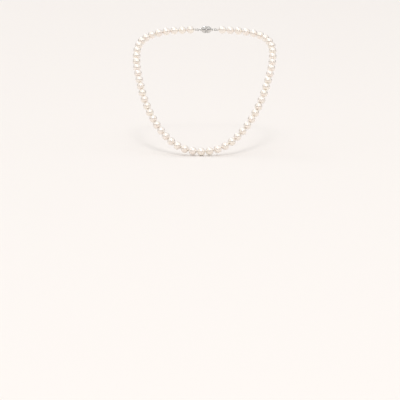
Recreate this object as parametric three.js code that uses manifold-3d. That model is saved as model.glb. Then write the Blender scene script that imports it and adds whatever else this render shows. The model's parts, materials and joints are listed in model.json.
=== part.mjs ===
/**
 * Pearl necklace, princess length.
 *
 * One strand of round pearls of one size, knotted on silk, in the open curve that it takes
 * when it is worn. A magnetic clasp in two halves closes it at the nape.
 *
 * Millimetres, +Z up. The front of the strand is towards -Y and the nape towards +Y, and the
 * wearer's two sides mirror each other across X = 0. The origin is the middle of the loop,
 * where the neck passes through it.
 *
 * The strand bends at every knot. The knots' hinge axes are all square to the plane that the
 * loop lies along, so each side can unroll outwards from the clasp until it is straight. Each
 * clasp half, with its ring and gimp, also turns about the strand's own axis.
 */
import * as THREE from "three";
import { mergeVertices } from "three/addons/utils/BufferGeometryUtils.js";
import Module from "manifold-3d";

const wasm = await Module();
wasm.setup();

// ---- Driving dimensions ------------------------------------------------------------------

const PEARL_DIAMETER = 7.0;
const DRILL_DIAMETER = 0.9;
const KNOT_ROOM = 0.5; // between the skins of neighbouring pearls
const PEARLS_PER_SIDE = 28; // and one more at the middle of the front

// Pearls that share one solid, where the strand lies almost straight behind the neck,
// counted from the clasp towards the front. All the others are single.
const JOINED_RUNS = [3, 2];

const SILK_DIAMETER = 0.5;
const KNOT_DIAMETER = 1.04;
const KNOT_LENGTH = 0.5;

const CLASP_SPAN = 22.5; // from end knot to end knot, across the closed clasp
const CLASP_GAP = 0.3; // between the two halves' faces
const CUP_DIAMETER = 6.4;
const CUP_LENGTH = 4.6;
const CUP_WALL = 0.65;
const CUP_BEVEL = 0.2;
const CUP_BAND = 1.2; // straight part of the cup before its dome
const MAGNET_THICKNESS = 1.7;
const GLUE_LINE = 0.25; // around and behind the magnet
const EYE_RADIUS = 0.95; // ring radii are to the middle of the wire
const EYE_WIRE = 0.6;
const JUMP_RING_RADIUS = 1.3;
const JUMP_RING_WIRE = 0.56;
const LINK_PLAY = 0.14; // between linked rings, and between ring and gimp
const GIMP_DIAMETER = 0.8;
const GIMP_LEG_SPREAD = 1.0; // between the two legs' axes where they meet the end pearl
const GIMP_STANDOFF = 0.2; // from the end knot

// Facets
const PEARL_SEGMENTS = 12;
const PEARL_ARCS = 8;
const SILK_SIDES = 6;
const CUP_SEGMENTS = 24;
const DOME_ARCS = 5;
const WIRE_SIDES = 8;
const RING_SEGMENTS = 16;
const GIMP_STEPS = 16;

// The strand's route on the +X side, from the middle of the front to beside the clasp. It
// falls steeply on the chest, rounds the side of the neck and lies flatter towards the nape.
// The whole route is scaled to the strand's length, so these points only set its shape.
const HALF_ROUTE = [
  [0, -58, -48],
  [20, -54, -44],
  [37, -41, -31],
  [50, -24, -12],
  [58, -5, 9],
  [62, 16, 27],
  [60, 34, 39],
  [50, 49, 45],
  [33, 57, 48],
  [12, 59, 49],
];

// ---- Derived dimensions ------------------------------------------------------------------

const PEARL_RADIUS = PEARL_DIAMETER / 2;
const DRILL_RADIUS = DRILL_DIAMETER / 2;
const PITCH = PEARL_DIAMETER + KNOT_ROOM; // from knot to knot
const STRAND_LENGTH = (2 * PEARLS_PER_SIDE + 1) * PITCH + CLASP_SPAN;

// ---- Materials ---------------------------------------------------------------------------

const finish = (color, roughness, metalness) =>
  new THREE.MeshStandardMaterial({ color, roughness, metalness });

const NACRE = finish(0xf6ebe0, 0.22, 0);
const SILK = finish(0xf3ece0, 0.85, 0);
const WHITE_GOLD = finish(0xd8d6d2, 0.25, 1);
const MAGNET_PLATE = finish(0x9a9a9e, 0.35, 1);

// ---- Route -------------------------------------------------------------------------------

/** A smooth closed curve through the half route and its mirror image. */
function closedRoute(scale) {
  const right = HALF_ROUTE.map(([x, y, z]) => new THREE.Vector3(x, y, z).multiplyScalar(scale));
  const left = right.slice(1).reverse().map(mirrored);
  const curve = new THREE.CatmullRomCurve3([...right, ...left], true, "centripetal");
  curve.arcLengthDivisions = 3000;
  return curve;
}

/** The point across X = 0. */
function mirrored(point) {
  return new THREE.Vector3(-point.x, point.y, point.z);
}

/** The parameter of the route's next point at a straight distance from the point at u. */
function stepAlong(route, u, distance) {
  const from = route.getPointAt(u);
  let near = u;
  let far = u + (1.2 * distance) / STRAND_LENGTH;
  for (let i = 0; i < 40; i += 1) {
    const middle = (near + far) / 2;
    if (route.getPointAt(middle).distanceTo(from) < distance) near = middle;
    else far = middle;
  }
  return near;
}

/** How many pearls each link of one side holds, from the front to the clasp. */
function linkSizes() {
  const joined = JOINED_RUNS.reduce((sum, count) => sum + count, 0);
  return [...Array(PEARLS_PER_SIDE - joined).fill(1), ...[...JOINED_RUNS].reverse()];
}

/** The points on the +X side where one link ends and the next begins, each with a knot. */
function knotPoints(sizes) {
  const route = closedRoute(STRAND_LENGTH / closedRoute(1).getLength());
  let u = stepAlong(route, 0, PITCH / 2);
  const points = [route.getPointAt(u)];
  for (const count of sizes) {
    u = stepAlong(route, u, count * PITCH);
    points.push(route.getPointAt(u));
  }
  return points;
}

// ---- Solids ------------------------------------------------------------------------------

/** A lathe solid along +X from [distance along X, radius] pairs. */
function turned(pairs, segments) {
  const profile = pairs.map(([along, radius]) => new THREE.Vector2(radius, along));
  return new THREE.LatheGeometry(profile, segments).rotateZ(-Math.PI / 2);
}

/** Drilled pearls in a straight row along X, centred on the origin. A sleeve of knotted silk
 *  joins each pearl of a longer row to the next. */
function pearlRow(count) {
  const holeEnd = Math.asin(DRILL_RADIUS / PEARL_RADIUS);
  const pairs = [];
  for (let pearl = 0; pearl < count; pearl += 1) {
    const centre = (pearl - (count - 1) / 2) * PITCH;
    const first = pearl === 0 ? holeEnd : Math.asin(KNOT_DIAMETER / PEARL_DIAMETER);
    const last = pearl === count - 1 ? holeEnd : Math.asin(KNOT_DIAMETER / PEARL_DIAMETER);
    for (let arc = 0; arc <= PEARL_ARCS; arc += 1) {
      const angle = first + ((Math.PI - first - last) * arc) / PEARL_ARCS;
      pairs.push([centre - PEARL_RADIUS * Math.cos(angle), PEARL_RADIUS * Math.sin(angle)]);
    }
  }
  pairs.push(pairs[0]); // back down the drill hole
  return turned(pairs, PEARL_SEGMENTS);
}

/** A closed tube through rings of given centre, axis and radius. */
function loft(rings, sides) {
  const across = new THREE.Vector3();
  const up = new THREE.Vector3();
  const vertices = [];
  for (const { centre, axis, radius } of rings) {
    across.set(0, 0, 1).cross(axis).normalize();
    up.copy(axis).cross(across);
    for (let side = 0; side < sides; side += 1) {
      const angle = (2 * Math.PI * side) / sides;
      const corner = centre.clone().addScaledVector(across, radius * Math.cos(angle));
      vertices.push(...corner.addScaledVector(up, radius * Math.sin(angle)));
    }
  }
  const last = (rings.length - 1) * sides;
  const faces = [];
  for (let start = 0; start < last; start += sides) {
    for (let side = 0; side < sides; side += 1) {
      const a = start + side;
      const b = start + ((side + 1) % sides);
      faces.push(a, b, b + sides, a, b + sides, a + sides);
    }
  }
  for (let side = 1; side < sides - 1; side += 1) {
    faces.push(0, side + 1, side, last, last + side, last + side + 1);
  }
  const geometry = new THREE.BufferGeometry();
  geometry.setAttribute("position", new THREE.Float32BufferAttribute(vertices, 3));
  geometry.setIndex(faces);
  return geometry;
}

/** The silk, straight inside each link and swollen into a knot at each point. */
function knottedSilk(points) {
  const rings = [];
  points.forEach((point, i) => {
    const before = point.clone().sub(points[i - 1] ?? points[i + 1]).normalize();
    const after = (points[i + 1] ?? points[i - 1]).clone().sub(point).normalize();
    if (i === 0) before.negate();
    if (i === points.length - 1) after.negate();
    const axis = before.clone().add(after).normalize();
    const ring = (way, along, diameter, facing) =>
      rings.push({
        centre: point.clone().addScaledVector(way, along),
        axis: facing,
        radius: diameter / 2,
      });
    ring(before, -KNOT_LENGTH / 2, SILK_DIAMETER, before);
    ring(before, -KNOT_LENGTH / 4, KNOT_DIAMETER, axis);
    ring(after, KNOT_LENGTH / 4, KNOT_DIAMETER, axis);
    ring(after, KNOT_LENGTH / 2, SILK_DIAMETER, after);
  });
  return loft(rings, SILK_SIDES);
}

/** A ring of round wire in the XY plane. */
function wireRing(radius, wire) {
  return new THREE.TorusGeometry(radius, wire / 2, WIRE_SIDES, RING_SEGMENTS);
}

/** A closed mesh as a manifold-3d solid. */
function solid(geometry) {
  const bare = geometry.clone();
  bare.deleteAttribute("normal");
  bare.deleteAttribute("uv");
  const { index, attributes } = mergeVertices(bare, 1e-4);
  return new wasm.Manifold(
    new wasm.Mesh({
      numProp: 3,
      vertProperties: new Float32Array(attributes.position.array),
      triVerts: new Uint32Array(index.array),
    }),
  );
}

/** Two overlapping closed meshes joined into one. */
function joined(first, second) {
  const { vertProperties, triVerts } = solid(first).add(solid(second)).getMesh();
  const geometry = new THREE.BufferGeometry();
  geometry.setAttribute("position", new THREE.BufferAttribute(vertProperties, 3));
  geometry.setIndex(new THREE.BufferAttribute(triVerts, 1));
  return geometry;
}

// ---- Clasp half, along +X from the middle of the clasp -------------------------------------

const CUP_RADIUS = CUP_DIAMETER / 2;
const FACE_X = CLASP_GAP / 2;
const CUP_END_X = FACE_X + CUP_LENGTH;
const POCKET_RADIUS = CUP_RADIUS - CUP_WALL;
const EYE_X = CUP_END_X + EYE_WIRE / 2;
// Each link hangs in the one before it with a little play.
const RING_NEAR_X = EYE_X + EYE_RADIUS - (EYE_WIRE + JUMP_RING_WIRE) / 2 - LINK_PLAY;
const RING_X = RING_NEAR_X + JUMP_RING_RADIUS;
const GIMP_BEND_X = RING_X + JUMP_RING_RADIUS;
const GIMP_BEND_RADIUS = (JUMP_RING_WIRE + GIMP_DIAMETER) / 2 + LINK_PLAY;

/** A domed cup, open at its face for the magnet, with an eye at its closed end. */
function claspCup() {
  const pocketX = FACE_X + MAGNET_THICKNESS + GLUE_LINE;
  const domeStart = FACE_X + CUP_BAND;
  const pairs = [
    [pocketX, 0],
    [pocketX, POCKET_RADIUS],
    [FACE_X, POCKET_RADIUS],
    [FACE_X, CUP_RADIUS - CUP_BEVEL],
    [FACE_X + CUP_BEVEL, CUP_RADIUS],
  ];
  for (let arc = 0; arc < DOME_ARCS; arc += 1) {
    const angle = (Math.PI / 2) * (arc / DOME_ARCS);
    const along = domeStart + (CUP_END_X - domeStart) * Math.sin(angle);
    pairs.push([along, CUP_RADIUS * Math.cos(angle)]);
  }
  pairs.push([CUP_END_X, 0]);
  const eye = wireRing(EYE_RADIUS, EYE_WIRE).rotateX(Math.PI / 2).translate(EYE_X, 0, 0);
  return joined(turned(pairs, CUP_SEGMENTS), eye);
}

/** A disc with broken edges, flush with the cup's face. */
function claspMagnet() {
  const radius = POCKET_RADIUS - GLUE_LINE;
  const back = FACE_X + MAGNET_THICKNESS;
  const edge = CUP_BEVEL;
  return turned(
    [
      [back, 0],
      [back, radius - edge],
      [back - edge, radius],
      [FACE_X + edge, radius],
      [FACE_X, radius - edge],
      [FACE_X, 0],
    ].reverse(),
    CUP_SEGMENTS,
  );
}

/** The gimp's two legs and the bend between them, which runs round the jump ring's wire. */
function gimpLoop(endX) {
  const legEnd = [endX, GIMP_LEG_SPREAD / 2];
  const legMiddle = [(endX + GIMP_BEND_X) / 2, (GIMP_LEG_SPREAD / 2 + GIMP_BEND_RADIUS) / 2];
  const upper = [legEnd, legMiddle];
  const bend = [0, 1, 2, 3, 4].map((quarter) => {
    const angle = Math.PI / 2 + (Math.PI * quarter) / 4;
    return [
      GIMP_BEND_X + GIMP_BEND_RADIUS * Math.cos(angle),
      GIMP_BEND_RADIUS * Math.sin(angle),
    ];
  });
  const lower = [legMiddle, legEnd].map(([x, z]) => [x, -z]);
  const path = new THREE.CatmullRomCurve3(
    [...upper, ...bend, ...lower].map(([x, z]) => new THREE.Vector3(x, 0, z)),
  );
  const section = new THREE.Shape().absarc(0, 0, GIMP_DIAMETER / 2, 0, 2 * Math.PI);
  return new THREE.ExtrudeGeometry(section, {
    steps: GIMP_STEPS,
    curveSegments: WIRE_SIDES,
    extrudePath: path,
  });
}

// ---- Assembly ----------------------------------------------------------------------------

const necklace = new THREE.Group();

function add(parent, name, geometry, material) {
  const mesh = new THREE.Mesh(geometry, material);
  mesh.name = name;
  parent.add(mesh);
  return mesh;
}

const sizes = linkSizes();
const rightKnots = knotPoints(sizes);
const leftKnots = rightKnots.map(mirrored);
const endKnot = rightKnots.at(-1);

const rows = new Map([...new Set(sizes)].map((count) => [count, pearlRow(count)]));

/** A row of pearls strung between two knots. */
function stringPearls(name, count, from, to) {
  const mesh = add(necklace, name, rows.get(count), NACRE);
  mesh.position.copy(from).add(to).multiplyScalar(0.5);
  const way = to.clone().sub(from).normalize();
  mesh.quaternion.setFromUnitVectors(new THREE.Vector3(1, 0, 0), way);
}

const numbered = (number) => String(number).padStart(2, "0");

stringPearls("pearl_centre", 1, leftKnots[0], rightKnots[0]);
for (const [side, knots] of [["right", rightKnots], ["left", leftKnots]]) {
  let number = 1;
  sizes.forEach((count, i) => {
    const last = number + count - 1;
    const name =
      count === 1
        ? `pearl_${side}_${numbered(number)}`
        : `pearls_${side}_${numbered(number)}_to_${numbered(last)}`;
    stringPearls(name, count, knots[i], knots[i + 1]);
    number = last + 1;
  });
}

add(necklace, "silk_thread", knottedSilk([...leftKnots.toReversed(), ...rightKnots]), SILK);

for (const [side, turn] of [["right", 0], ["left", Math.PI]]) {
  const half = new THREE.Group();
  half.position.set(0, endKnot.y, endKnot.z);
  half.rotation.z = turn;
  necklace.add(half);
  add(half, `clasp_cup_${side}`, claspCup(), WHITE_GOLD);
  add(half, `clasp_magnet_${side}`, claspMagnet(), MAGNET_PLATE);
  const ring = add(half, `jump_ring_${side}`, wireRing(JUMP_RING_RADIUS, JUMP_RING_WIRE), WHITE_GOLD);
  ring.position.x = RING_X;
  const gimpEnd = endKnot.x - KNOT_LENGTH / 2 - GIMP_STANDOFF;
  add(half, `gimp_coil_${side}`, gimpLoop(gimpEnd), WHITE_GOLD);
}

export default necklace;
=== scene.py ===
"""The looks of a knotted pearl necklace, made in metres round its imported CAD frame.

Every pearl, knot and clasp piece is made here in fine detail, where its CAD node lies. The knots
and the pearls' places come from the frame's joints, and the clasp's from its nodes' boxes.
"""

import json
import math
import random

import bpy
import numpy as np
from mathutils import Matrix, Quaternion, Vector

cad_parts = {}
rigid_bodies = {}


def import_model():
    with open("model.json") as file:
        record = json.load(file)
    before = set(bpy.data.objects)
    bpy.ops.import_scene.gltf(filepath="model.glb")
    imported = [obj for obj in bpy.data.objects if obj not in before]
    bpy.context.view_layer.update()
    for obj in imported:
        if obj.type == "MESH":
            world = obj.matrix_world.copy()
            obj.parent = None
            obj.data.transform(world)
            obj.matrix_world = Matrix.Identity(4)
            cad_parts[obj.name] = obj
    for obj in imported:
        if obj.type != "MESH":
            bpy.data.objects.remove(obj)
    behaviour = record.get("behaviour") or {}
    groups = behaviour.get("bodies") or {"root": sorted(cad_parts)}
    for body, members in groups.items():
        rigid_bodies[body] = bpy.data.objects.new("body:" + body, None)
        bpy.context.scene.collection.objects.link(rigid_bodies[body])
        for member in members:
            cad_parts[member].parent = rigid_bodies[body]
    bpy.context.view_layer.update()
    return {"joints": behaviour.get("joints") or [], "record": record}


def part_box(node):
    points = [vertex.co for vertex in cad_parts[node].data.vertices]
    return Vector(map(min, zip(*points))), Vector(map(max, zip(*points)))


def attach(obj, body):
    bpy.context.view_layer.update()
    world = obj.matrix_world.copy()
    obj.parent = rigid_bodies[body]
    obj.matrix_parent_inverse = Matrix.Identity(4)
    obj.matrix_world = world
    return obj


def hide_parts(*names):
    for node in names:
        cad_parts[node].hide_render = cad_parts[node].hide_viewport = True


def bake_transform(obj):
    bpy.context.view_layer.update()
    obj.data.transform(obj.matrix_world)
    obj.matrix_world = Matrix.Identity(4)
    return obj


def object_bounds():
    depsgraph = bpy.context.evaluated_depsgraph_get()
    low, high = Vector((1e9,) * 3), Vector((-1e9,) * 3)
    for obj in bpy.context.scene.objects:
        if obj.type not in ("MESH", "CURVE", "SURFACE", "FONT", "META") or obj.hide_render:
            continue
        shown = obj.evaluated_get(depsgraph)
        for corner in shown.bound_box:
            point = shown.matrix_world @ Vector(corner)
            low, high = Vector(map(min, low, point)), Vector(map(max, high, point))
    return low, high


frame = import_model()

MM = 0.001
SEED = 57
X_AXIS = Vector((1, 0, 0))
Y_AXIS = Vector((0, 1, 0))
Z_AXIS = Vector((0, 0, 1))
STEEP = 0.9  # a direction with more than this of Z counts as upright

# ---- Sizes in metres ----------------------------------------------------------------------

PEARL_RADIUS = 3.5 * MM
DRILL_RADIUS = 0.45 * MM
DRILL_RIM = 0.12 * MM  # the rounded edge of the drill hole
PEARL_SIDES = 64
PEARL_RINGS = 44
RIM_ARCS = 4
BORE_SHARES = (0.6, 0.2, -0.2, -0.6)  # where the hole has rings, as shares of half its length

# How a pearl differs from a true sphere. Spreads and depths are shares of its radius.
SIZE_SPREAD = (-0.006, 0.002)
OUT_OF_ROUND = 0.006
OUT_OF_ROUND_WAYS = 3  # it is longer or shorter along this many directions
MEAN_SQUARE = 0.33  # the mean over a sphere of one coordinate squared, so the size stays
DIMPLE_COUNT = (2, 5)
DIMPLE_WIDTH = (0.13, 0.3)  # in radians
DIMPLE_DEPTH = (0.0012, 0.0032)

PLY_TWIST = 1.3 * MM  # length of one turn of the thread's two plies
PLY_LOBE = 0.16  # how far a ply stands out, as a share of the thread's radius
THREAD_RADIUS = 0.24 * MM
THREAD_SIDES = 12
THREAD_STEP = 0.11 * MM
KNOT_MAJOR = 0.27 * MM  # the knot's strand winds round the thread at this radius
KNOT_MINOR = 0.115 * MM  # and waves in and out by this much
KNOT_STRAND = 0.135 * MM
KNOT_TURNS = 2  # round the thread
KNOT_WAVES = 3  # in and out, on the way round
KNOT_STEPS = 60
KNOT_SIDES = 8

WIRE_SIDES = 16
RING_STEPS = 72
JUMP_RING_WIRE = 0.56 * MM
EYE_WIRE = 0.6 * MM

GIMP_DIAMETER = 0.8 * MM
GIMP_LEG_SPREAD = 1.0 * MM  # between the two legs at the end pearl
GIMP_END_GAP = 0.02 * MM  # keeps the legs' ends inside the CAD gimp
GIMP_BEND_STEPS = 8
CURVE_PARTS = 24  # between two corners of a smooth line
ROUNDING = 1e-12  # allowed when lengths are compared
BULLION_WIRE = 0.15 * MM
BULLION_PITCH = 1.12 * BULLION_WIRE  # from one turn of the coil to the next
BULLION_SIDES = 6
COIL_STEPS = 12  # in one turn of the bullion
SILK_EVERY = 6  # coil steps between two points of the silk inside the gimp

AXIS_RADIUS = 0.02 * MM  # the ring that a turned piece closes on at its axis
CUP_LENGTH = 4.6 * MM
CUP_SIDES = 144
CUP_LIP = 0.1 * MM  # the soft edges of the cup's mouth and pocket
CUP_BAND = 1.25 * MM  # the straight part between the mouth and the dome
BAND_CORNER = 0.05 * MM
POCKET_ROOM = 0.2 * MM  # round and behind the magnet
GROOVE = (0.3 * MM, 0.9 * MM)  # the grains sit in it, this far from the mouth
GROOVE_SLOPE = 0.06 * MM
GROOVE_DEPTH = 0.16 * MM
GRAINS = 44
GRAIN_RADIUS = 0.2 * MM
GRAIN_SEAT = 0.13 * MM  # a grain's middle, below the band's surface
GRAIN_RINGS = 7
GRAIN_SIDES = 10
DOME_ARCS = 26
CUP_FLUTES = 18
FLUTE_DEPTH = 0.11 * MM
FLUTE_SPREAD = 0.6  # below 1, the flutes are deepest near the dome's foot
FLUTE_SHAPE = 0.7  # below 1, the hollows are broad and the ridges sharp
CROWN_RADIUS = 0.1 * MM  # the flutes stop here

MAGNET_SIDES = 64
MAGNET_EDGE = 0.16 * MM
MAGNET_RINGS = 8
MAGNET_ARCS = 5


# ---- Meshes -------------------------------------------------------------------------------


def make_piece(name, vertices, faces, material):
    """A smooth mesh object with one material."""
    mesh = bpy.data.meshes.new(name)
    mesh.from_pydata([tuple(v) for v in vertices], [], faces)
    mesh.update()
    mesh.shade_smooth()
    mesh.materials.append(material)
    piece = bpy.data.objects.new(name, mesh)
    bpy.context.scene.collection.objects.link(piece)
    return piece


def ring_faces(rings, sides, closed, first=0):
    """Quads between rings of vertices. The ends meet if closed, and otherwise have caps."""
    faces = []
    for ring in range(rings if closed else rings - 1):
        here = first + ring * sides
        there = first + ((ring + 1) % rings) * sides
        for side in range(sides):
            after = (side + 1) % sides
            faces.append((here + side, here + after, there + after, there + side))
    if not closed:
        last = first + (rings - 1) * sides
        faces.append(tuple(reversed(range(first, first + sides))))
        faces.append(tuple(range(last, last + sides)))
    return faces


def lathe(profile, sides, swell=None):
    """Vertices of (along, radius) pairs turned about X. swell(along, radius, angle) gives a
    changed radius."""
    points = []
    for along, radius in profile:
        for side in range(sides):
            angle = 2 * math.pi * side / sides
            wide = swell(along, radius, angle) if swell else radius
            points.append((along, wide * math.cos(angle), wide * math.sin(angle)))
    return points


def sweep(path, sides, radius, closed=False, plies=0, twist=0.0):
    """Vertices of a tube along points. With plies, its section is lobed and turns once every
    twist metres."""
    path = [Vector(p) for p in path]
    count = len(path)
    up = Z_AXIS
    points = []
    run = 0.0
    for i, point in enumerate(path):
        before = path[i - 1] if closed or i else path[i]
        after = path[(i + 1) % count] if closed or i < count - 1 else path[i]
        way = (after - before).normalized()
        if i == 0 and abs(way.z) > STEEP:
            up = X_AXIS
        across = up.cross(way).normalized()
        up = way.cross(across)
        if i:
            run += (point - path[i - 1]).length
        turn = 2 * math.pi * run / twist if twist else 0.0
        for side in range(sides):
            angle = 2 * math.pi * side / sides
            lobed = 1.0
            if plies:
                lobed = 1 - PLY_LOBE + PLY_LOBE * math.cos(plies * (angle - turn))
            arm = across * math.cos(angle) + up * math.sin(angle)
            points.append(point + arm * radius * lobed)
    return points


def turned_to(way):
    """The rotation that takes +X to a direction."""
    return X_AXIS.rotation_difference(Vector(way))


# ---- Materials ----------------------------------------------------------------------------

# A Mix node's sockets for colours
MIX_FACTOR = 0
MIX_FIRST = 6
MIX_SECOND = 7
MIX_RESULT = 2


def new_material(name):
    """A material with its node tree and its shader."""
    material = bpy.data.materials.new(name)
    material.use_nodes = True
    tree = material.node_tree
    return material, tree, tree.nodes["Principled BSDF"]


def set_finish(shader, values):
    """Sets what is the same all over the surface."""
    for name, value in values.items():
        shader.inputs[name].default_value = value


def feed(tree, socket, value):
    """Links an output to a socket, or sets the socket to a plain value."""
    if isinstance(value, bpy.types.NodeSocket):
        tree.links.new(value, socket)
    else:
        socket.default_value = value


def node(tree, kind, inputs=None, **settings):
    """A node with its settings and its inputs' values or links."""
    made = tree.nodes.new(kind)
    for key, value in settings.items():
        setattr(made, key, value)
    for key, value in (inputs or {}).items():
        feed(tree, made.inputs[key], value)
    return made


def object_place(tree):
    """Every point's place in the necklace's frame, which all textures follow."""
    return node(tree, "ShaderNodeTexCoord").outputs["Object"]


def mixed_colour(tree, factor, first, second, blend="MIX"):
    """The output of a colour mix. Inputs are colours or sockets."""
    mix = node(tree, "ShaderNodeMix", data_type="RGBA", blend_type=blend)
    feed(tree, mix.inputs[MIX_FACTOR], factor)
    feed(tree, mix.inputs[MIX_FIRST], first)
    feed(tree, mix.inputs[MIX_SECOND], second)
    return mix.outputs[MIX_RESULT]


def noise(tree, where, scale, detail=3.0, roughness=0.5, distortion=0.0):
    """Cloudy noise from 0 to 1. Its clouds are about 1 / scale metres wide."""
    inputs = {
        "Vector": where,
        "Scale": scale,
        "Detail": detail,
        "Roughness": roughness,
        "Distortion": distortion,
    }
    return node(tree, "ShaderNodeTexNoise", inputs).outputs["Fac"]


def ranged(tree, value, old_range, new_range):
    """A value moved from one range to another, and kept within it."""
    inputs = {
        "Value": value,
        "From Min": old_range[0],
        "From Max": old_range[1],
        "To Min": new_range[0],
        "To Max": new_range[1],
    }
    return node(tree, "ShaderNodeMapRange", inputs).outputs["Result"]


def bumped(tree, height, strength, distance):
    """The surface's direction with small heights on it. distance is their size in metres."""
    inputs = {"Height": height, "Strength": strength, "Distance": distance}
    return node(tree, "ShaderNodeBump", inputs).outputs["Normal"]


def nacre_material():
    """Cream nacre with rose and pale green overtones in soft patches, different on each pearl,
    and the faint terraces that it grows in."""
    cream = (0.985, 0.92, 0.83, 1)
    pale_cream = (0.985, 0.925, 0.87, 1)
    rose = (0.985, 0.895, 0.84, 1)
    pale_green = (0.93, 0.945, 0.915, 1)
    material, tree, shader = new_material("nacre")
    where = object_place(tree)

    tint = node(tree, "ShaderNodeAttribute", attribute_name="tint").outputs["Fac"]
    rose_patches = noise(tree, where, scale=210, detail=2.0)
    green_patches = noise(tree, where, scale=330, detail=1.0)
    terraces = noise(tree, where, scale=3600, detail=4.0, roughness=0.6, distortion=1.2)
    rosy = ranged(tree, rose_patches, (0.34, 0.7), (0.0, 1.0))
    greenish = ranged(tree, green_patches, (0.5, 0.75), (0.0, 0.25))
    fleck = ranged(tree, terraces, (0.35, 0.7), (0.965, 1.02))
    grey = node(tree, "ShaderNodeCombineColor", {"Red": fleck, "Green": fleck, "Blue": fleck})
    body = mixed_colour(tree, tint, cream, pale_cream)
    body = mixed_colour(tree, rosy, body, rose)
    body = mixed_colour(tree, greenish, body, pale_green)
    body = mixed_colour(tree, 1.0, body, grey.outputs["Color"], blend="MULTIPLY")
    tree.links.new(body, shader.inputs["Base Color"])

    clouds = noise(tree, where, scale=600, detail=4.0)
    tree.links.new(ranged(tree, clouds, (0.3, 0.7), (0.285, 0.35)), shader.inputs["Roughness"])
    low_steps = bumped(tree, terraces, strength=0.12, distance=0.012 * MM)
    tree.links.new(low_steps, shader.inputs["Normal"])
    set_finish(shader, {
        "IOR": 1.56,
        "Metallic": 0.6,
        "Coat Weight": 0.55,
        "Coat Roughness": 0.07,
        "Coat IOR": 1.5,
        "Sheen Weight": 0.12,
        "Sheen Roughness": 0.35,
        "Sheen Tint": (1.0, 0.94, 0.9, 1),
        "Thin Film Thickness": 420,  # in nanometres
        "Thin Film IOR": 1.42,
    })
    return material


def silk_material():
    """Spun silk: fine fibres along the thread, coloured with painted shade between them (a shaded
    and a lit copy of the silk), soft sheen.
    """
    # Painted shade: shaded and lit are dark and light copies of the silk colour, which the fibre
    # noise mixes.
    shaded = (0.80, 0.745, 0.655, 1)
    lit = (0.93, 0.895, 0.83, 1)
    worn = (0.95, 0.92, 0.87, 1)
    material, tree, shader = new_material("silk")
    where = object_place(tree)
    fibres = noise(tree, where, scale=9000, detail=5.0, roughness=0.7, distortion=2.0)
    patches = noise(tree, where, scale=900, detail=2.0)
    wear = ranged(tree, patches, (0.3, 0.7), (0.0, 0.5))
    shade = mixed_colour(tree, wear, mixed_colour(tree, fibres, shaded, lit), worn)
    tree.links.new(shade, shader.inputs["Base Color"])
    tree.links.new(ranged(tree, fibres, (0.3, 0.7), (0.55, 0.8)), shader.inputs["Roughness"])
    fuzz = bumped(tree, fibres, strength=0.6, distance=0.03 * MM)
    tree.links.new(fuzz, shader.inputs["Normal"])
    set_finish(shader, {"Sheen Weight": 0.5, "Sheen Roughness": 0.3})
    return material


def metal_material(name, pale, dark, smooth, rough, scratch):
    """Polished or drawn metal with cloudy wear and hairline scratches. Its roughness goes from
    smooth to rough, and scratch is how strongly the hairlines show."""
    material, tree, shader = new_material(name)
    where = object_place(tree)
    clouds = noise(tree, where, scale=500, detail=4.0)
    hairline_scales = (9000, 900, 2400)  # the hairlines run mostly along Y
    inputs = {"Vector": where, "Scale": hairline_scales}
    stretched = node(tree, "ShaderNodeMapping", inputs).outputs["Vector"]
    lines = noise(tree, stretched, scale=1.0, detail=6.0, roughness=0.75)
    tarnish = ranged(tree, clouds, (0.3, 0.75), (0.0, 1.0))
    wear = node(tree, "ShaderNodeMath", {0: clouds, 1: lines}, operation="MULTIPLY").outputs[0]
    gloss = ranged(tree, wear, (0.1, 0.45), (smooth, rough))
    hairlines = bumped(tree, lines, strength=scratch, distance=0.02 * MM)
    tree.links.new(mixed_colour(tree, tarnish, pale, dark), shader.inputs["Base Color"])
    tree.links.new(gloss, shader.inputs["Roughness"])
    tree.links.new(hairlines, shader.inputs["Normal"])
    set_finish(shader, {"Metallic": 1.0})
    return material


NACRE = nacre_material()
SILK = silk_material()
WHITE_GOLD = metal_material(
    "white_gold",
    pale=(0.74, 0.73, 0.715, 1), dark=(0.58, 0.57, 0.555, 1), smooth=0.1, rough=0.25, scratch=0.08,
)
BULLION = metal_material(
    "bullion",
    pale=(0.84, 0.83, 0.81, 1), dark=(0.72, 0.71, 0.69, 1), smooth=0.3, rough=0.42, scratch=0.2,
)
NICKEL = metal_material(
    "nickel_plate",
    pale=(0.66, 0.66, 0.67, 1), dark=(0.52, 0.52, 0.54, 1), smooth=0.3, rough=0.45, scratch=0.25,
)


# ---- The strand, read from the frame --------------------------------------------------------

JOINT_TO = {joint["child"]: joint for joint in frame["joints"]}


def place_of(body):
    """Where a body turns on the one before it."""
    return Vector(JOINT_TO[body]["pos_m"])


def chain_of(side):
    """One side's bodies in order, from the front pearl's neighbour to the clasp half."""
    chain = []
    body = "centre"
    while True:
        following = [
            joint["child"]
            for joint in frame["joints"]
            if joint["parent"] == body and side in joint["child"]
        ]
        if not following:
            return chain
        body = following[0]
        chain.append(body)


def pearl_node(body):
    """The pearls' CAD node of a body."""
    members = frame["record"]["behaviour"]["bodies"][body]
    return next(member for member in members if member.startswith("pearl"))


CHAINS = {side: chain_of(side) for side in ("right", "left")}
FRONT_LEFT = place_of(CHAINS["left"][0])
FRONT_RIGHT = place_of(CHAINS["right"][0])
PITCH = (FRONT_RIGHT - FRONT_LEFT).length  # from knot to knot
rng = random.Random(SEED)


# ---- Pearls ---------------------------------------------------------------------------------


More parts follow.
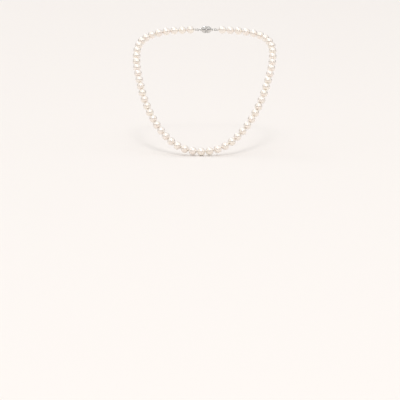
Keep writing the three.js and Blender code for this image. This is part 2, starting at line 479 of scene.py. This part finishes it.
def pearl_profile():
    """(along, radius) pairs round a drilled pearl and back through its hole."""
    mouth = math.asin((DRILL_RADIUS + DRILL_RIM) / PEARL_RADIUS)
    skin = []
    for ring in range(PEARL_RINGS + 1):
        angle = mouth + (math.pi - 2 * mouth) * ring / PEARL_RINGS
        skin.append((-PEARL_RADIUS * math.cos(angle), PEARL_RADIUS * math.sin(angle)))
    face = skin[-1][0]
    rim = []
    for step in range(1, RIM_ARCS + 1):
        angle = math.pi / 2 * step / RIM_ARCS
        rim.append((
            face - DRILL_RIM * (1 - math.cos(angle)),
            DRILL_RADIUS + DRILL_RIM * (1 - math.sin(angle)),
        ))
    bore = [(face * share, DRILL_RADIUS) for share in BORE_SHARES]
    return skin + rim + bore + [(-along, radius) for along, radius in reversed(rim)]


def random_way():
    """A direction, each as likely as another."""
    height = rng.uniform(-1, 1)
    around = rng.uniform(0, 2 * math.pi)
    flat = math.sqrt(1 - height * height)
    return np.array((flat * math.cos(around), flat * math.sin(around), height))


def grown(points):
    """The points of a true sphere as a pearl grows: a little out of round, with a few shallow
    dimples."""
    ways = points / np.linalg.norm(points, axis=1, keepdims=True)
    swell = np.full(len(points), 1 + rng.uniform(*SIZE_SPREAD))
    for _ in range(OUT_OF_ROUND_WAYS):
        amount = rng.uniform(-1, 1) * OUT_OF_ROUND
        swell += amount * ((ways @ random_way()) ** 2 - MEAN_SQUARE)
    for _ in range(rng.randint(*DIMPLE_COUNT)):
        width = rng.uniform(*DIMPLE_WIDTH)
        depth = rng.uniform(*DIMPLE_DEPTH)
        nearness = 1 - ways @ random_way()
        swell -= depth * np.exp(-2 * nearness / width**2)
    return points * swell[:, None]


PEARL_POINTS = np.array(lathe(pearl_profile(), PEARL_SIDES))
PEARL_FACES = ring_faces(len(PEARL_POINTS) // PEARL_SIDES, PEARL_SIDES, closed=True)


def make_pearl(name, centre, way):
    """One pearl with its drill hole along the silk, and a tint of its own."""
    spin = Quaternion(X_AXIS, rng.uniform(0, 2 * math.pi))
    turn = np.array((turned_to(way) @ spin).to_matrix())
    points = grown(PEARL_POINTS) @ turn.T + np.array(centre)
    pearl = make_piece(name, points, PEARL_FACES, NACRE)
    tint = pearl.data.attributes.new("tint", "FLOAT", "POINT")
    tint.data.foreach_set("value", [rng.random()] * len(points))
    return pearl


def pearl_name(body, number):
    """A pearl's name. Pearls are numbered from the front of the strand."""
    return "centre_pearl" if body == "centre" else f"{body.split('_')[0]}_pearl_{number:02d}"


def string_pearls(body, start, end, number):
    """Makes the pearls of one body, between two knots, and says how many they are."""
    count = round((end - start).length / PITCH)
    for i in range(count):
        centre = start.lerp(end, (i + 0.5) / count)
        pearl = make_pearl(pearl_name(body, number + i), centre, end - start)
        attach(pearl, body)
        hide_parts(pearl_node(body))
    return count


# ---- Silk -----------------------------------------------------------------------------------


def straight(start, end):
    """Points between two places, a thread step apart, without the last."""
    steps = max(1, round((end - start).length / THREAD_STEP))
    return [start.lerp(end, step / steps) for step in range(steps)]


def thread_mesh(path, first=0):
    """Vertices and faces of the two-ply thread along points."""
    points = sweep(path, THREAD_SIDES, THREAD_RADIUS, plies=2, twist=PLY_TWIST)
    return points, ring_faces(len(path), THREAD_SIDES, closed=False, first=first)


def knot_mesh(middle, way, first):
    """Vertices and faces of a tight overhand knot round the thread, at a chance angle."""
    turn = turned_to(way) @ Quaternion(X_AXIS, rng.uniform(0, 2 * math.pi))
    path = []
    for step in range(KNOT_STEPS):
        share = 2 * math.pi * step / KNOT_STEPS
        wave = KNOT_WAVES * share
        angle = KNOT_TURNS * share
        out = KNOT_MAJOR + KNOT_MINOR * math.cos(wave)
        along = KNOT_MINOR * math.sin(wave)
        point = Vector((along, out * math.cos(angle), out * math.sin(angle)))
        path.append(middle + turn @ point)
    points = sweep(path, KNOT_SIDES, KNOT_STRAND, closed=True)
    return points, ring_faces(len(path), KNOT_SIDES, closed=True, first=first)


def make_silk(name, start, knot, end):
    """The thread from one pearl's middle to the next's, with its knot between them."""
    points, faces = thread_mesh(straight(start, knot) + straight(knot, end) + [end])
    knot_points, knot_faces = knot_mesh(knot, (end - start).normalized(), len(points))
    silk = make_piece(name, points + knot_points, faces + knot_faces, SILK)
    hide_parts("silk_thread")
    return silk


def bend_silk(silk):
    """Bakes the silk's place into its mesh."""
    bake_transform(silk)


def make_end_silk(side, start, knot, gimp):
    """The silk out of the last pearl, its end knot, and the loop that runs inside the gimp."""
    points, faces = thread_mesh(straight(start, knot) + [knot])
    knot_points, knot_faces = knot_mesh(knot, (knot - start).normalized(), len(points))
    points += knot_points
    loop_points, loop_faces = thread_mesh([knot, *gimp, knot], len(points))
    silk = make_piece(
        f"{side}_end_silk", points + loop_points, faces + knot_faces + loop_faces, SILK,
    )
    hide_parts("silk_thread")
    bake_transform(silk)


# ---- Clasp ----------------------------------------------------------------------------------


def cup_profile(radius, face, pocket_radius, pocket_floor):
    """(along, radius) pairs from the middle of the pocket's floor to the top of the dome."""
    groove_start, groove_end = GROOVE
    pocket = [
        (pocket_floor, AXIS_RADIUS),
        (pocket_floor, pocket_radius * 0.6),
        (pocket_floor, pocket_radius - CUP_LIP / 2),
        (pocket_floor - CUP_LIP / 2, pocket_radius),
        (face + CUP_LIP, pocket_radius),
        (face + CUP_LIP / 3, pocket_radius + CUP_LIP / 3),
    ]
    mouth = [
        (face, pocket_radius + CUP_LIP),
        (face, radius - CUP_LIP * 2),
        (face + CUP_LIP * 0.6, radius - CUP_LIP * 0.6),
        (face + CUP_LIP * 2, radius),
    ]
    band = [
        (face + groove_start, radius),
        (face + groove_start + GROOVE_SLOPE, radius - GROOVE_DEPTH),
        (face + groove_end - GROOVE_SLOPE, radius - GROOVE_DEPTH),
        (face + groove_end, radius),
        (face + CUP_BAND - BAND_CORNER, radius),
        (face + CUP_BAND, radius - BAND_CORNER * 0.8),
    ]
    foot = CUP_BAND + BAND_CORNER * 0.6
    dome = []
    for arc in range(DOME_ARCS + 1):
        angle = math.pi / 2 * arc / DOME_ARCS
        dome.append((
            face + foot + (CUP_LENGTH - foot) * math.sin(angle),
            max((radius - BAND_CORNER) * math.cos(angle), AXIS_RADIUS),
        ))
    return pocket + mouth + band + dome


def grain_ball():
    """Vertices and faces of one small grain of metal."""
    profile = []
    for ring in range(1, GRAIN_RINGS):
        angle = math.pi * ring / GRAIN_RINGS
        profile.append((-GRAIN_RADIUS * math.cos(angle), GRAIN_RADIUS * math.sin(angle)))
    points = [Vector(p) for p in lathe(profile, GRAIN_SIDES)]
    return points, ring_faces(len(profile), GRAIN_SIDES, closed=False)


def cup_mesh(side):
    """Vertices and faces of a fluted dome with a grained band at its mouth, along +X."""
    low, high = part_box(f"clasp_cup_{side}")
    radius = (high.y - low.y) / 2
    face = min(abs(low.x), abs(high.x))
    magnet_low, magnet_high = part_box(f"clasp_magnet_{side}")
    pocket_radius = (magnet_high.y - magnet_low.y) / 2 + POCKET_ROOM
    pocket_floor = face + (magnet_high.x - magnet_low.x) + POCKET_ROOM
    flute_start = face + CUP_BAND + BAND_CORNER

    def fluted(along, wide, angle):
        """The dome's flutes fade out at its foot and at its crown."""
        if along <= flute_start or wide < CROWN_RADIUS:
            return wide
        share = (along - flute_start) / (face + CUP_LENGTH - flute_start)
        depth = FLUTE_DEPTH * math.sin(math.pi * min(share, 1) ** FLUTE_SPREAD)
        return wide - depth * abs(math.sin(CUP_FLUTES / 2 * angle)) ** FLUTE_SHAPE

    profile = cup_profile(radius, face, pocket_radius, pocket_floor)
    points = lathe(profile, CUP_SIDES, fluted)
    faces = ring_faces(len(profile), CUP_SIDES, closed=False)
    ball, ball_faces = grain_ball()
    for grain in range(GRAINS):
        angle = 2 * math.pi * grain / GRAINS
        first = len(points)
        spot = Vector((face + sum(GROOVE) / 2, math.cos(angle), math.sin(angle)))
        spot.yz *= radius - GRAIN_SEAT
        points += [tuple(spot + p) for p in ball]
        faces += [tuple(first + i for i in f) for f in ball_faces]
    return points, faces


def circle(centre, radius, across, up):
    """Points round a circle."""
    path = []
    for step in range(RING_STEPS):
        angle = 2 * math.pi * step / RING_STEPS
        path.append(centre + across * radius * math.cos(angle) + up * radius * math.sin(angle))
    return path


def ride_clasp(piece, side, node_name):
    """Puts a piece on its clasp half, in place of a CAD node."""
    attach(piece, f"clasp_{side}")
    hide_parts(node_name)


def make_cup(side, facing):
    """The cup of one clasp half with its eye. facing is +1 on the right, which is towards +X,
    and -1 on the left."""
    cup_node = f"clasp_cup_{side}"
    low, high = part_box(cup_node)
    middle = (low + high) / 2
    points, faces = cup_mesh(side)
    points = [(facing * x, facing * y + middle.y, z + middle.z) for x, y, z in points]
    near, far = sorted((abs(low.x), abs(high.x)))
    eye_x = near + CUP_LENGTH + EYE_WIRE / 2
    eye_centre = Vector((facing * eye_x, middle.y, middle.z))
    eye = circle(eye_centre, far - eye_x - EYE_WIRE / 2, X_AXIS, Z_AXIS)
    faces += ring_faces(len(eye), WIRE_SIDES, closed=True, first=len(points))
    points += sweep(eye, WIRE_SIDES, EYE_WIRE / 2, closed=True)
    cup = make_piece(f"{side}_clasp_cup", points, faces, WHITE_GOLD)
    ride_clasp(cup, side, cup_node)


def make_magnet(side):
    """A plated disc with softened edges."""
    name = f"clasp_magnet_{side}"
    low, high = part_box(name)
    middle = (low + high) / 2
    radius = (high.y - low.y) / 2
    half = (high.x - low.x) / 2
    pairs = [(half, AXIS_RADIUS)]
    for step in range(1, MAGNET_RINGS + 1):
        pairs.append((half, (radius - MAGNET_EDGE) * step / MAGNET_RINGS))
    for step in range(1, MAGNET_ARCS + 1):
        angle = math.pi / 2 * step / MAGNET_ARCS
        pairs.append((
            half - MAGNET_EDGE * (1 - math.cos(angle)),
            radius - MAGNET_EDGE * (1 - math.sin(angle)),
        ))
    pairs += [(-along, wide) for along, wide in reversed(pairs)]
    points = [tuple(Vector(p) + middle) for p in lathe(pairs[::-1], MAGNET_SIDES)]
    faces = ring_faces(len(pairs), MAGNET_SIDES, closed=False)
    magnet = make_piece(f"{side}_clasp_magnet", points, faces, NICKEL)
    ride_clasp(magnet, side, name)


def make_jump_ring(side):
    """A ring of round wire, soldered shut where its ends meet."""
    name = f"jump_ring_{side}"
    low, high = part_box(name)
    radius = (high.x - low.x) / 2 - JUMP_RING_WIRE / 2
    path = circle((low + high) / 2, radius, X_AXIS, Y_AXIS)
    points = sweep(path, WIRE_SIDES, JUMP_RING_WIRE / 2, closed=True)
    faces = ring_faces(len(path), WIRE_SIDES, closed=True)
    ring = make_piece(f"{side}_jump_ring", points, faces, WHITE_GOLD)
    ride_clasp(ring, side, name)


def gimp_line(side, facing):
    """The line down the middle of the gimp: out along one leg, round the ring and back."""
    low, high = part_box(f"gimp_coil_{side}")
    middle = (low + high) / 2
    bend_radius = (high.z - low.z) / 2 - GIMP_DIAMETER / 2
    near, far = sorted((abs(low.x), abs(high.x)))
    bend_x = near + GIMP_DIAMETER / 2 + bend_radius
    end_x, end_z = far - GIMP_END_GAP, GIMP_LEG_SPREAD / 2
    leg_x, leg_z = (far + bend_x) / 2, (end_z + bend_radius) / 2
    corners = [(end_x, end_z), (leg_x, leg_z)]
    for step in range(GIMP_BEND_STEPS + 1):
        angle = math.pi / 2 + math.pi * step / GIMP_BEND_STEPS
        corners.append((
            bend_x + bend_radius * math.cos(angle),
            bend_radius * math.sin(angle),
        ))
    corners += [(leg_x, -leg_z), (end_x, -end_z)]
    return [Vector((facing * x, middle.y, middle.z + z)) for x, z in corners]


def smooth_line(corners, step):
    """Evenly spaced points on a smooth curve through corners."""
    dense = []
    padded = [corners[0] * 2 - corners[1], *corners, corners[-1] * 2 - corners[-2]]
    for i in range(1, len(padded) - 2):
        a, b, c, d = padded[i - 1:i + 3]
        for part in range(CURVE_PARTS):
            t = part / CURVE_PARTS
            dense.append(0.5 * (
                2 * b + (c - a) * t + (2 * a - 5 * b + 4 * c - d) * t * t
                + (3 * b - 3 * c + d - a) * t**3
            ))
    dense.append(corners[-1])
    length = sum((q - p).length for p, q in zip(dense, dense[1:]))
    count = round(length / step)
    even = [dense[0]]
    gone = 0.0
    for p, q in zip(dense, dense[1:]):
        stretch = (q - p).length
        while len(even) <= count and len(even) * length / count <= gone + stretch + ROUNDING:
            even.append(p.lerp(q, (len(even) * length / count - gone) / stretch))
        gone += stretch
    return even


def make_gimp(side, facing):
    """Bullion: fine wire coiled closely over the silk where the silk rounds the ring. Returns
    the silk's points inside it."""
    line = smooth_line(gimp_line(side, facing), BULLION_PITCH / COIL_STEPS)
    coil_radius = (GIMP_DIAMETER - BULLION_WIRE) / 2
    last = len(line) - 1
    helix = []
    for i, point in enumerate(line):
        way = (line[min(i + 1, last)] - line[max(i - 1, 0)]).normalized()
        out = way.cross(Y_AXIS).normalized()
        angle = 2 * math.pi * i / COIL_STEPS
        helix.append(point + (Y_AXIS * math.cos(angle) + out * math.sin(angle)) * coil_radius)
    points = sweep(helix, BULLION_SIDES, BULLION_WIRE / 2)
    faces = ring_faces(len(helix), BULLION_SIDES, closed=False)
    gimp = make_piece(f"{side}_gimp_coil", points, faces, BULLION)
    ride_clasp(gimp, side, f"gimp_coil_{side}")
    return line[::SILK_EVERY]


# ---- Assembly -------------------------------------------------------------------------------


def make_side(side, facing):
    """One side of the strand, from the front pearl to its clasp half."""
    chain = CHAINS[side]
    links = chain[:-1]
    knots = [place_of(body) for body in chain]
    last_centre = (FRONT_LEFT + FRONT_RIGHT) / 2
    number = 1
    for body, start, end in zip(links, knots, knots[1:]):
        way = (end - start).normalized()
        count = string_pearls(body, start, end, number)
        centres = [start + way * PITCH * (i + 0.5) for i in range(count)]
        silk = make_silk(f"{side}_silk_{number:02d}", last_centre, start, centres[0])
        bend_silk(silk)
        for i in range(1, count):
            knot = start + way * PITCH * i
            inner = make_silk(f"{side}_silk_{number + i:02d}", centres[i - 1], knot, centres[i])
            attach(inner, body)
        number += count
        last_centre = centres[-1]
    make_cup(side, facing)
    make_magnet(side)
    make_jump_ring(side)
    gimp = make_gimp(side, facing)
    make_end_silk(side, last_centre, knots[-1], gimp)


string_pearls("centre", FRONT_LEFT, FRONT_RIGHT, 0)
make_side("right", 1)
make_side("left", -1)


# ---- Stage ----------------------------------------------------------------------------------

FLOOR_GAP = 0.2 * MM  # under the lowest pearl
FLOOR_MIDDLE = 0.001  # radius of the small cap at its middle
FLOOR_FLAT = 5.0  # radius of the flat part
FLOOR_CURVE = 6.0  # radius of the curve that its edge rises in
FLOOR_RISE = 0.8  # height of its edge
FLOOR_ARCS = 12
FLOOR_SIDES = 96
FLOOR_COLOUR = (0.88, 0.852, 0.832, 1)

WHITE = (1.0, 1.0, 1.0)
KEY_WHITE = (1.0, 0.985, 0.965)
SOFT_WHITE = (1.0, 0.965, 0.93)
FILL_WHITE = (1.0, 0.97, 0.95)
BACK_WHITE = (1.0, 0.98, 0.96)

# Name, azimuth and elevation in degrees, distance and diameter in metres, watts, colour
LIGHTS = (
    ("key_light", 3, 50, 5.2, 0.9, 34, KEY_WHITE),
    ("front_soft", 3, 58, 6.0, 3.0, 38, SOFT_WHITE),
    ("left_fill", -75, 30, 5.2, 2.8, 12, FILL_WHITE),
    ("right_fill", 80, 28, 5.2, 2.8, 12, FILL_WHITE),
    ("back_light", 205, 40, 5.2, 1.4, 22, BACK_WHITE),
    ("top_light", 180, 84, 6.0, 5.0, 16, WHITE),
)

# The room's own light: dim at the horizon and bright overhead
ROOM_COLOUR = (1.0, 0.985, 0.97, 1)
HORIZON_LIGHT = 0.08
CEILING_LIGHT = 0.88
CEILING_HEIGHTS = (0.14, 0.5)  # where it starts and is full, on a sphere of radius 1

CAMERA_DISTANCE = 2.4
CAMERA_YAW = math.radians(2.31)  # towards +X
CAMERA_TILT = math.radians(7.0)  # above the necklace
CAMERA_LENS = 239.3  # in millimetres, as is the sensor
CAMERA_SENSOR = 36.0
CAMERA_AIM = Vector((-0.0029, -0.0122, -0.0984))  # the middle of the picture


def make_stage():
    """A pale floor whose far edge curves up a little all round."""
    low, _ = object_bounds()
    floor_z = low.z - FLOOR_GAP
    profile = [(FLOOR_MIDDLE, 0.0)]
    profile += [(FLOOR_FLAT * share, 0.0) for share in (0.2, 0.6, 1.0)]
    last = math.acos(1 - FLOOR_RISE / FLOOR_CURVE)
    for step in range(1, FLOOR_ARCS + 1):
        angle = last * step / FLOOR_ARCS
        out = FLOOR_FLAT + FLOOR_CURVE * math.sin(angle)
        profile.append((out, FLOOR_CURVE * (1 - math.cos(angle))))
    points = []
    for out, up in profile:
        for side in range(FLOOR_SIDES):
            angle = 2 * math.pi * side / FLOOR_SIDES
            points.append((out * math.cos(angle), out * math.sin(angle), floor_z + up))
    faces = ring_faces(len(profile), FLOOR_SIDES, closed=False)
    open_faces = faces[:-1]  # without the cap across the raised edge
    material, _, shader = new_material("pale_floor")
    set_finish(shader, {
        "Base Color": FLOOR_COLOUR,
        "Roughness": 0.9,
        "Specular IOR Level": 0.1,
    })
    stage = make_piece("stage_floor", points, open_faces, material)


def way_to(azimuth, elevation):
    """The direction of a place in the studio, seen from the necklace, from angles in radians.
    Azimuth 0 is in front, and it grows towards +X."""
    flat = math.cos(elevation)
    return Vector((math.sin(azimuth) * flat, -math.cos(azimuth) * flat, math.sin(elevation)))


def add_area_light(name, azimuth, elevation, distance, diameter, watts, colour):
    """A soft light that faces the middle of the necklace."""
    lamp = bpy.data.lights.new(name, "AREA")
    lamp.shape = "DISK"
    lamp.size = diameter
    lamp.energy = watts
    lamp.color = colour
    light = bpy.data.objects.new(name, lamp)
    back = way_to(math.radians(azimuth), math.radians(elevation))
    light.location = back * distance
    light.rotation_mode = "QUATERNION"
    light.rotation_quaternion = back.to_track_quat("Z", "Y")
    bpy.context.scene.collection.objects.link(light)


def make_room():
    """The room round the stage, which lights it from all sides."""
    world = bpy.data.worlds.new("studio")
    world.use_nodes = True
    tree = world.node_tree
    way = node(tree, "ShaderNodeTexCoord").outputs["Generated"]
    height = node(tree, "ShaderNodeSeparateXYZ", {"Vector": way}).outputs["Z"]
    light = ranged(tree, height, CEILING_HEIGHTS, (HORIZON_LIGHT, CEILING_LIGHT))
    background = tree.nodes["Background"]
    background.inputs["Color"].default_value = ROOM_COLOUR
    tree.links.new(light, background.inputs["Strength"])
    bpy.context.scene.world = world


def make_camera():
    """The camera stands in front of the necklace, a little towards +X and above it."""
    camera = bpy.data.cameras.new("camera")
    camera.lens = CAMERA_LENS
    camera.sensor_width = CAMERA_SENSOR
    camera.clip_start = 0.1
    camera.clip_end = 100.0
    holder = bpy.data.objects.new("camera", camera)
    holder.location = way_to(CAMERA_YAW, CAMERA_TILT) * CAMERA_DISTANCE
    holder.rotation_mode = "QUATERNION"
    holder.rotation_quaternion = (CAMERA_AIM - holder.location).to_track_quat("-Z", "Y")
    bpy.context.scene.collection.objects.link(holder)
    bpy.context.scene.camera = holder


make_camera()
make_stage()
for light in LIGHTS:
    add_area_light(*light)
make_room()
bpy.context.scene.view_settings.view_transform = "Standard"
